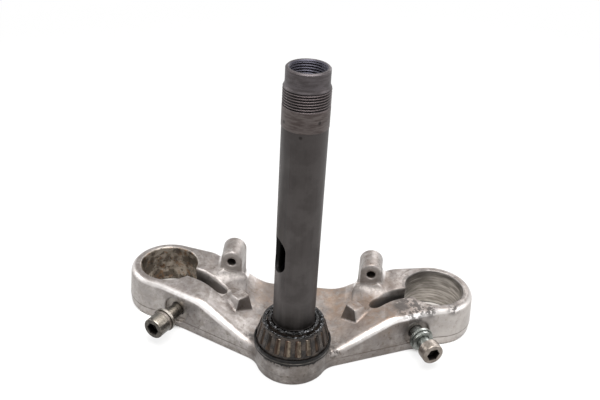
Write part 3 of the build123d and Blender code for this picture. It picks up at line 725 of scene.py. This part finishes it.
def plated_steel(name, clean, dull, dirt_and_shade, highlight, rough):
    """Worn zinc on steel: a clean colour with dull and dirty blotches, a painted highlight on top and painted shade
    below and in crevices.
    """
    material, tree, shader, place = start_material(name)
    normal = node(tree, "TexCoord", out="Normal")
    upper = node(tree, "VectorMath", {0: normal, 1: lit_side}, "Value", operation="DOT_PRODUCT")
    # Painted highlight on faces turned to that side, painted shade on faces turned away and where ambient occlusion
    # finds crevices.
    facing_light = node(tree, "MapRange", {"Value": upper, "From Min": 0.82, "From Max": 1.0})
    below = node(tree, "MapRange", {"Value": upper, "From Min": 0.5, "From Max": -0.2, "To Max": 0.7})
    open_sky = node(tree, "AmbientOcclusion", {"Distance": 4 * MM}, "AO", samples=8)
    shade_in_crevices = node(tree, "MapRange", {"Value": open_sky, "From Min": 0.8, "From Max": 0.35})
    face = layer(tree, clean, dull, blotches(tree, place, 4, 0.4, 0.62, seed=1))
    face = layer(tree, face, highlight, facing_light)
    face = layer(tree, face, dirt_and_shade, below)
    face = layer(tree, face, dirt_and_shade, blotches(tree, place, 1.6, 0.55, 0.7, seed=2), 0.6)
    face = layer(tree, face, dirt_and_shade, shade_in_crevices, 0.85)
    # The grain of the plating is far finer. It is drawn 0.7 mm wide, so that it shows.
    fine = node(tree, "TexNoise", {"Vector": place, "Scale": 1 / (0.7 * MM), "Detail": 3.0})
    bump = node(tree, "Bump", {"Height": fine, "Strength": 0.3, "Distance": 0.03 * MM})
    roughness = blotches(tree, place, 2, 0.3, 0.7, seed=3, give=(rough, rough + 0.18))
    feed(tree, shader, {"Base Color": face, "Roughness": roughness, "Metallic": 0.9, "Normal": bump})
    return material


dull_zinc = plated_steel("dull zinc-plated steel, oily", "#68645e", "#4f4b46", "#231f1c", "#a0988d", 0.22)
worn_zinc = plated_steel("worn zinc-plated steel", "#959189", "#757069", "#332e29", "#d0c8bf", 0.22)
bright_zinc = plated_steel("bright zinc-plated steel", "#9c9f9b", "#797c77", "#2f2f2c", "#d9dcd9", 0.22)
brown_zinc = plated_steel("browned zinc-plated steel", "#8a827b", "#706860", "#5c534b", "#9a918a", 0.3)
socket_grime = plated_steel("steel under packed grime", "#221e1c", "#191614", "#0c0a09", "#2a2624", 0.45)

# Faces lie in rings, from the bolt's point to the socket's floor, and then come the triangles of both ends. Below the
# head there are four rings more than the thread has rows. The socket is the last five rings and the second end.
ring_faces = len(bolt_around)
other_rings, socket_rings, end_rings = 4, 5, 2
head_start = (len(shank_heights) + other_rings) * ring_faces
shank, head, socket = 0, 1, 2
for side, shank_finish, head_finish in (("left", dull_zinc, dull_zinc), ("right", bright_zinc, brown_zinc)):
    dress(bolts[side], shank_finish, head_finish, socket_grime)
    faces = bolts[side].data.polygons
    finish_of = np.full(len(faces), shank)
    finish_of[head_start:] = head
    finish_of[-(socket_rings + end_rings) * ring_faces : -end_rings * ring_faces] = socket
    finish_of[-ring_faces:] = socket
    faces.foreach_set("material_index", finish_of)
dress(nodes["left_spring_washer"], brown_zinc)
dress(nodes["left_flat_washer"], worn_zinc)
dress(nodes["right_spring_washer"], bright_zinc)
dress(nodes["right_flat_washer"], bright_zinc)
print("plated:", dull_zinc.name, bright_zinc.name, brown_zinc.name)

# %% [markdown]
# ## Lower bearing
# The rollers are ground, hardened steel that old grease has browned. The front ones were wiped, and each shows a
# painted highlight band beside a band of painted brown shade. The cage round them is thin pressed steel, black and half
# wet with grease, and so is the race under them. The seal below is nitrile rubber, dull black with a painted highlight
# along its lip. A streak that runs along a roller is noise drawn out along the bearing's axis.

# %% Bearing finishes
roller_steel, tree, shader, place = start_material("ground roller steel, browned")
long_place = node(tree, "Mapping", {"Vector": place, "Scale": (1, 1, 0.12)})
normal = node(tree, "TexCoord", out="Normal")
face = layer(tree, "#3b2f27", "#6b6157", blotches(tree, long_place, 1.6, 0.42, 0.62, seed=1))
face = layer(tree, face, "#2b1f18", blotches(tree, long_place, 2.2, 0.48, 0.6, seed=2), 0.85)
face = layer(tree, face, "#a8a197", blotches(tree, long_place, 1.2, 0.58, 0.66, seed=3), 0.6)
# Painted shade on each front roller's left side and a painted highlight on its front right side.
shade_band = node(tree, "SeparateXYZ", {0: normal})
shade_band = node(tree, "MapRange", {"Value": shade_band, "From Min": 0.12, "From Max": -0.2, "To Max": 0.75})
face = layer(tree, face, "#2c1a10", shade_band)
highlight_band = node(tree, "VectorMath", {0: normal, 1: (0.45, -0.87, 0.2)}, "Value", operation="DOT_PRODUCT")
highlight_band = node(tree, "MapRange", {"Value": highlight_band, "From Min": 0.86, "From Max": 0.96, "To Max": 0.6})
face = layer(tree, face, "#857a6a", highlight_band, blotches(tree, place, 2.5, 0.38, 0.6, seed=5, give=(0.25, 1.0)))
greasy = layer(tree, "#1c1612", "#46382d", blotches(tree, long_place, 2.5, 0.45, 0.7, seed=4))
face = layer(tree, greasy, face, near(tree, place, (2, -27, 30, 9, 18)))
feed(tree, shader, {"Base Color": face, "Roughness": 0.3, "Metallic": 0.8})

cage_steel, tree, shader, place = start_material("pressed steel under black grease")
face = layer(tree, "#1a1614", "#3e3630", blotches(tree, place, 5, 0.4, 0.65, seed=1))
smears = blotches(tree, place, 2.2, 0.3, 0.7, seed=2)
rough = node(tree, "MapRange", {"Value": smears, "To Min": 0.2, "To Max": 0.45})
bump = node(tree, "Bump", {"Height": smears, "Strength": 0.5, "Distance": 0.15 * MM})
feed(tree, shader, {"Base Color": face, "Roughness": rough, "Metallic": 0.4, "Normal": bump})

seal_rubber, tree, shader, place = start_material("nitrile rubber, greasy")
face = layer(tree, "#0b0a0a", "#1f1b19", blotches(tree, place, 6, 0.45, 0.7, seed=1))
# A painted highlight along the seal's lip.
lip_highlight = between(tree, node(tree, "SeparateXYZ", {0: place}, 2), 20.4 * MM, 21.0 * MM, 0.3 * MM)
face = layer(tree, face, "#5f5a56", lip_highlight, blotches(tree, place, 8, 0.4, 0.6, seed=3, give=(0.3, 0.9)))
rough = blotches(tree, place, 3, 0.35, 0.65, seed=2, give=(0.3, 0.6))
feed(tree, shader, {"Base Color": face, "Roughness": rough, "Specular IOR Level": 0.15})

finishes = {name: roller_steel for name in nodes if name.startswith("tapered_roller")}
finishes.update(roller_cage=cage_steel, bearing_inner_race=cage_steel, dust_seal=seal_rubber)
for name, finish in finishes.items():
    dress(nodes[name], finish)
print(len(finishes), "pieces of the bearing in", roller_steel.name, cage_steel.name, seal_rubber.name)

# %% [markdown]
# ## Old grease
# Black grease stands in a wet, lumpy bead on top of the race, and more of it on the cage's turned-in lip. A bead is a
# ring of rows round its own section. Its width and height change with the angle, by a sum of cosines with whole
# numbers of waves, so that the ring closes. One bead stays on the race and the other goes round with the cage.

# %% Grease beads


def lumpy(angle, waves, seed):
    """A wavy number from 0 to 1 that closes round a ring: cosines of 1 to waves turns with chance phases."""
    chance = np.random.default_rng(seed)
    count = np.arange(1, waves + 1)
    phase = chance.uniform(0, 2 * np.pi, waves)
    total = np.cos(np.multiply.outer(np.asarray(angle), count) + phase).sum(axis=-1)
    return np.clip(0.5 + 0.35 * total / np.sqrt(waves / 2), 0, 1)


width_waves, height_waves, ripple_waves = 40, 34, 60


def grease_bead(name, body, middle_mm, half_mm, base_mm, lean, height_mm, seed):
    """A bead of grease that rides a body: a low arch on a base that leans outwards, with lumps."""
    turns = np.linspace(0, 2 * np.pi, 240, endpoint=False)
    section = np.linspace(0, 2 * np.pi, 18, endpoint=False)[:, None]
    width = half_mm * (0.7 + 0.3 * lumpy(turns, width_waves, seed))
    tall = height_mm * (0.25 + 0.75 * lumpy(turns, height_waves, seed + 1))
    ripple = 0.35 * lumpy(turns + 0.21 * section, ripple_waves, seed + 2)
    out = width * np.cos(section)
    arch = np.where(np.sin(section) > 0, (tall + ripple) * np.sin(section), 0.1 * np.sin(section))
    radius = middle_mm + out
    grid = np.stack([radius * np.cos(turns), radius * np.sin(turns), base_mm + lean * out + arch], axis=-1)
    bead = surface(name, grid * MM, ring=True)
    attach(bead, body)
    return bead


# Old grease is black and wet, with sharp glints on its lumps. Pale grey specks about 2 mm wide in its colour are
# painted glints.
grease, tree, shader, place = start_material("black bearing grease, wet")
shade = layer(tree, "#040303", "#120d0a", blotches(tree, place, 6, 0.45, 0.7, seed=1))
# Painted glints: pale grey specks.
shade = layer(tree, shade, "#8b8c90", blotches(tree, place, 1.8, 0.56, 0.63, seed=3, detail=6.0), 0.8)
fine = node(tree, "TexNoise", {"Vector": place, "Scale": 1 / (1.4 * MM), "Detail": 3.0})
bump = node(tree, "Bump", {"Height": fine, "Strength": 1.0, "Distance": 1.2 * MM})
rough = blotches(tree, place, 2, 0.3, 0.7, seed=2, give=(0.05, 0.2))
feed(tree, shader, {"Base Color": shade, "Roughness": rough, "Specular IOR Level": 0.25, "Normal": bump})

beads = [
    grease_bead("race_grease_bead", "yoke", 16.7, 1.6, 39.1, 0.0, 1.3, seed=3),
    grease_bead("cage_grease_bead", "roller_cage", 20.3, 1.5, 37.95, 0.25, 0.8, seed=8),
]
for bead in beads:
    dress(bead, grease)
print("grease:", [bead.name for bead in beads])
